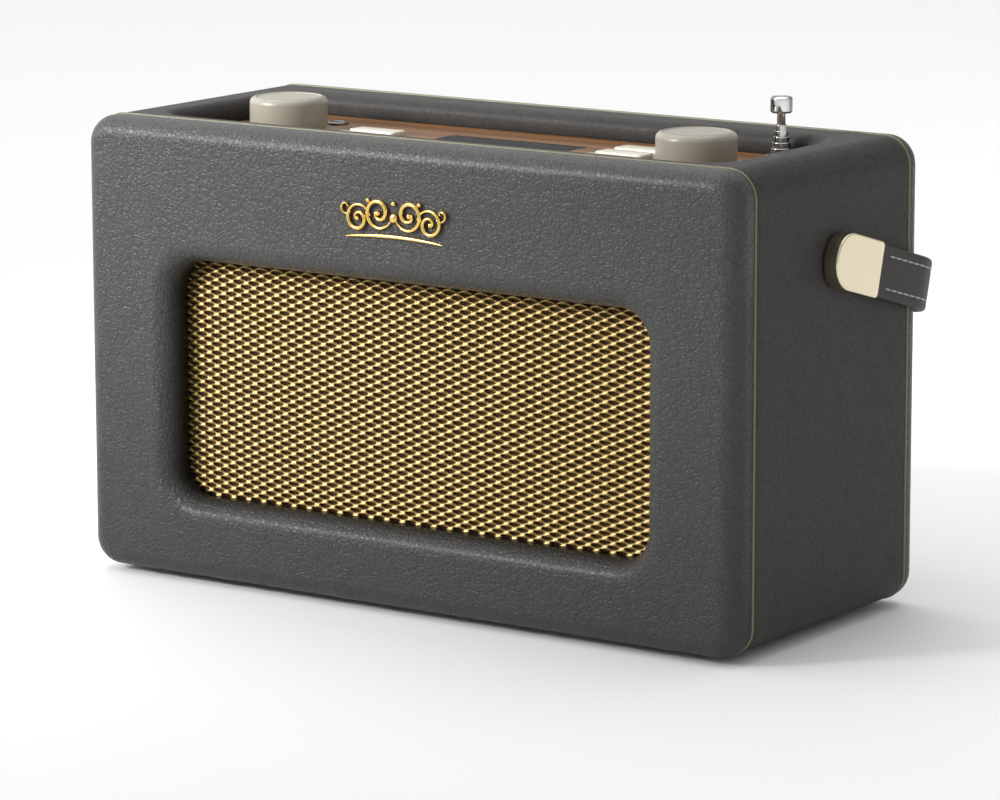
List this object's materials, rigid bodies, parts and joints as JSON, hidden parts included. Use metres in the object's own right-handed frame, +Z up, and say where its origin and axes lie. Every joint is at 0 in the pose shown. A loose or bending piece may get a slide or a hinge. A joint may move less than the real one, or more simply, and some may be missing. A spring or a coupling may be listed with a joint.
{
  "type": "portable radio",
  "caption": "Leathercloth portable radio with a gold metal grille, sunk control panel, telescopic aerial and a strap handle on two brass ends.",
  "frame": {"origin": "middle of the whole footprint, strap included, on the surface the feet stand on", "axes": "+X to the radio's right seen from the front, +Y to the back, +Z up"},
  "size_m": [0.2664, 0.132, 0.1667],
  "materials": {
    "leathercloth": "grained charcoal leathercloth",
    "strap_leather": "smooth charcoal leather, pale stitching",
    "piping": "olive gold piping",
    "board": "raw board",
    "veneer": "satin orange-brown veneer",
    "gold_mesh": "gold expanded metal",
    "gold": "polished gold",
    "brass": "polished pale brass",
    "chrome": "polished chrome",
    "steel": "bright steel",
    "knob_plastic": "satin taupe moulding",
    "button_plastic": "ivory moulding",
    "black_plastic": "textured black moulding",
    "display_glass": "dark tinted window",
    "circuit": "circuit board",
    "rubber": "black rubber",
    "cloth": "black speaker cloth",
    "paper": "doped paper cone",
    "magnet": "ferrite and plated steel",
    "cell": "plain wrapped cells"
  },
  "bodies": {
    "cabinet": {"sleeve_board": "board", "sleeve_cover": "leathercloth", "recess_rim": "leathercloth", "front_frame": "board", "front_cover": "leathercloth", "back_frame": "board", "back_cover": "leathercloth", "piping": "piping", "feet": "rubber", "grille_mesh": "gold_mesh", "speaker_cloth": "cloth", "baffle": "board", "driver_basket": "steel", "driver_magnet": "magnet", "cone_surround": "rubber", "badge": "gold", "control_panel": "veneer", "control_tray": "black_plastic", "control_board": "circuit", "display_window": "display_glass", "display_module": "black_plastic", "key_mats": "rubber", "encoders": "steel", "headphone_socket": "chrome", "aerial_base": "chrome", "aerial_collar": "chrome", "handle_bushes": "brass", "rear_screws": "steel", "rear_panel": "black_plastic", "battery_cells": "cell", "battery_contacts": "steel", "bass_port": "black_plastic", "power_inlet": "black_plastic", "line_sockets": "black_plastic", "main_board": "circuit", "board_posts": "steel"},
    "cone": {"driver_cone": "paper"},
    "volume": {"volume_knob": "knob_plastic", "volume_shaft": "steel"},
    "select_press": {"select_plunger": "black_plastic"},
    "select": {"select_knob": "knob_plastic", "select_shaft": "steel"},
    "handle": {"handle_strap": "strap_leather", "handle_end_left": "brass", "handle_end_right": "brass", "handle_pins": "steel"},
    "battery_door": {"battery_door": "black_plastic"},
    "aerial_tip": {"aerial_rod": "chrome"},
    "button_left_1": {"button_left_1": "button_plastic"},
    "button_left_2": {"button_left_2": "button_plastic"},
    "button_left_3": {"button_left_3": "button_plastic"},
    "button_right_1": {"button_right_1": "button_plastic"},
    "button_right_2": {"button_right_2": "button_plastic"},
    "button_right_3": {"button_right_3": "button_plastic"},
    "button_right_4": {"button_right_4": "button_plastic"},
    "aerial_section_1": {"aerial_section_1": "chrome"},
    "aerial_section_2": {"aerial_section_2": "chrome"},
    "aerial_section_3": {"aerial_section_3": "chrome"},
    "aerial_section_4": {"aerial_section_4": "chrome"},
    "aerial_section_5": {"aerial_section_5": "chrome"}
  },
  "joints": [
    {"name": "handle_swing", "type": "hinge", "parent": "cabinet", "child": "handle", "pos_m": [0, -0.0053, 0.1201], "axis": [1, 0, 0], "range_deg": [-4, 150]},
    {"name": "volume_turn", "type": "hinge", "parent": "cabinet", "child": "volume", "pos_m": [-0.0805, -0.0133, 0.1468], "axis": [0, 0, 1], "continuous": true},
    {"name": "select_push", "type": "slide", "parent": "cabinet", "child": "select_press", "axis": [0, 0, -1], "range_m": [0, 0.0006], "stiffness_N_per_m": 2500, "springref_m": -0.0003},
    {"name": "select_turn", "type": "hinge", "parent": "select_press", "child": "select", "pos_m": [0.0805, -0.0133, 0.1468], "axis": [0, 0, 1], "continuous": true},
    {"name": "battery_door_swing", "type": "hinge", "parent": "cabinet", "child": "battery_door", "pos_m": [0, 0.0458, 0.0339], "axis": [-1, 0, 0], "range_deg": [0, 95]},
    {"name": "cone_move", "type": "slide", "parent": "cabinet", "child": "cone", "axis": [0, 1, 0], "range_m": [-0.001, 0.001], "stiffness_N_per_m": 900},
    {"name": "button_left_1_press", "type": "slide", "parent": "cabinet", "child": "button_left_1", "axis": [0, 0, -1], "range_m": [0, 0.0008], "stiffness_N_per_m": 1200, "springref_m": -0.0002},
    {"name": "button_left_2_press", "type": "slide", "parent": "cabinet", "child": "button_left_2", "axis": [0, 0, -1], "range_m": [0, 0.0008], "stiffness_N_per_m": 1200, "springref_m": -0.0002},
    {"name": "button_left_3_press", "type": "slide", "parent": "cabinet", "child": "button_left_3", "axis": [0, 0, -1], "range_m": [0, 0.0008], "stiffness_N_per_m": 1200, "springref_m": -0.0002},
    {"name": "button_right_1_press", "type": "slide", "parent": "cabinet", "child": "button_right_1", "axis": [0, 0, -1], "range_m": [0, 0.0008], "stiffness_N_per_m": 1200, "springref_m": -0.0002},
    {"name": "button_right_2_press", "type": "slide", "parent": "cabinet", "child": "button_right_2", "axis": [0, 0, -1], "range_m": [0, 0.0008], "stiffness_N_per_m": 1200, "springref_m": -0.0002},
    {"name": "button_right_3_press", "type": "slide", "parent": "cabinet", "child": "button_right_3", "axis": [0, 0, -1], "range_m": [0, 0.0008], "stiffness_N_per_m": 1200, "springref_m": -0.0002},
    {"name": "button_right_4_press", "type": "slide", "parent": "cabinet", "child": "button_right_4", "axis": [0, 0, -1], "range_m": [0, 0.0008], "stiffness_N_per_m": 1200, "springref_m": -0.0002},
    {"name": "aerial_pull_1", "type": "slide", "parent": "cabinet", "child": "aerial_section_1", "axis": [0, 0, 1], "range_m": [0, 0.09]},
    {"name": "aerial_pull_2", "type": "slide", "parent": "aerial_section_1", "child": "aerial_section_2", "axis": [0, 0, 1], "range_m": [0, 0.09]},
    {"name": "aerial_pull_3", "type": "slide", "parent": "aerial_section_2", "child": "aerial_section_3", "axis": [0, 0, 1], "range_m": [0, 0.09]},
    {"name": "aerial_pull_4", "type": "slide", "parent": "aerial_section_3", "child": "aerial_section_4", "axis": [0, 0, 1], "range_m": [0, 0.09]},
    {"name": "aerial_pull_5", "type": "slide", "parent": "aerial_section_4", "child": "aerial_section_5", "axis": [0, 0, 1], "range_m": [0, 0.09]},
    {"name": "aerial_pull_6", "type": "slide", "parent": "aerial_section_5", "child": "aerial_tip", "axis": [0, 0, 1], "range_m": [0, 0.09]}
  ]
}
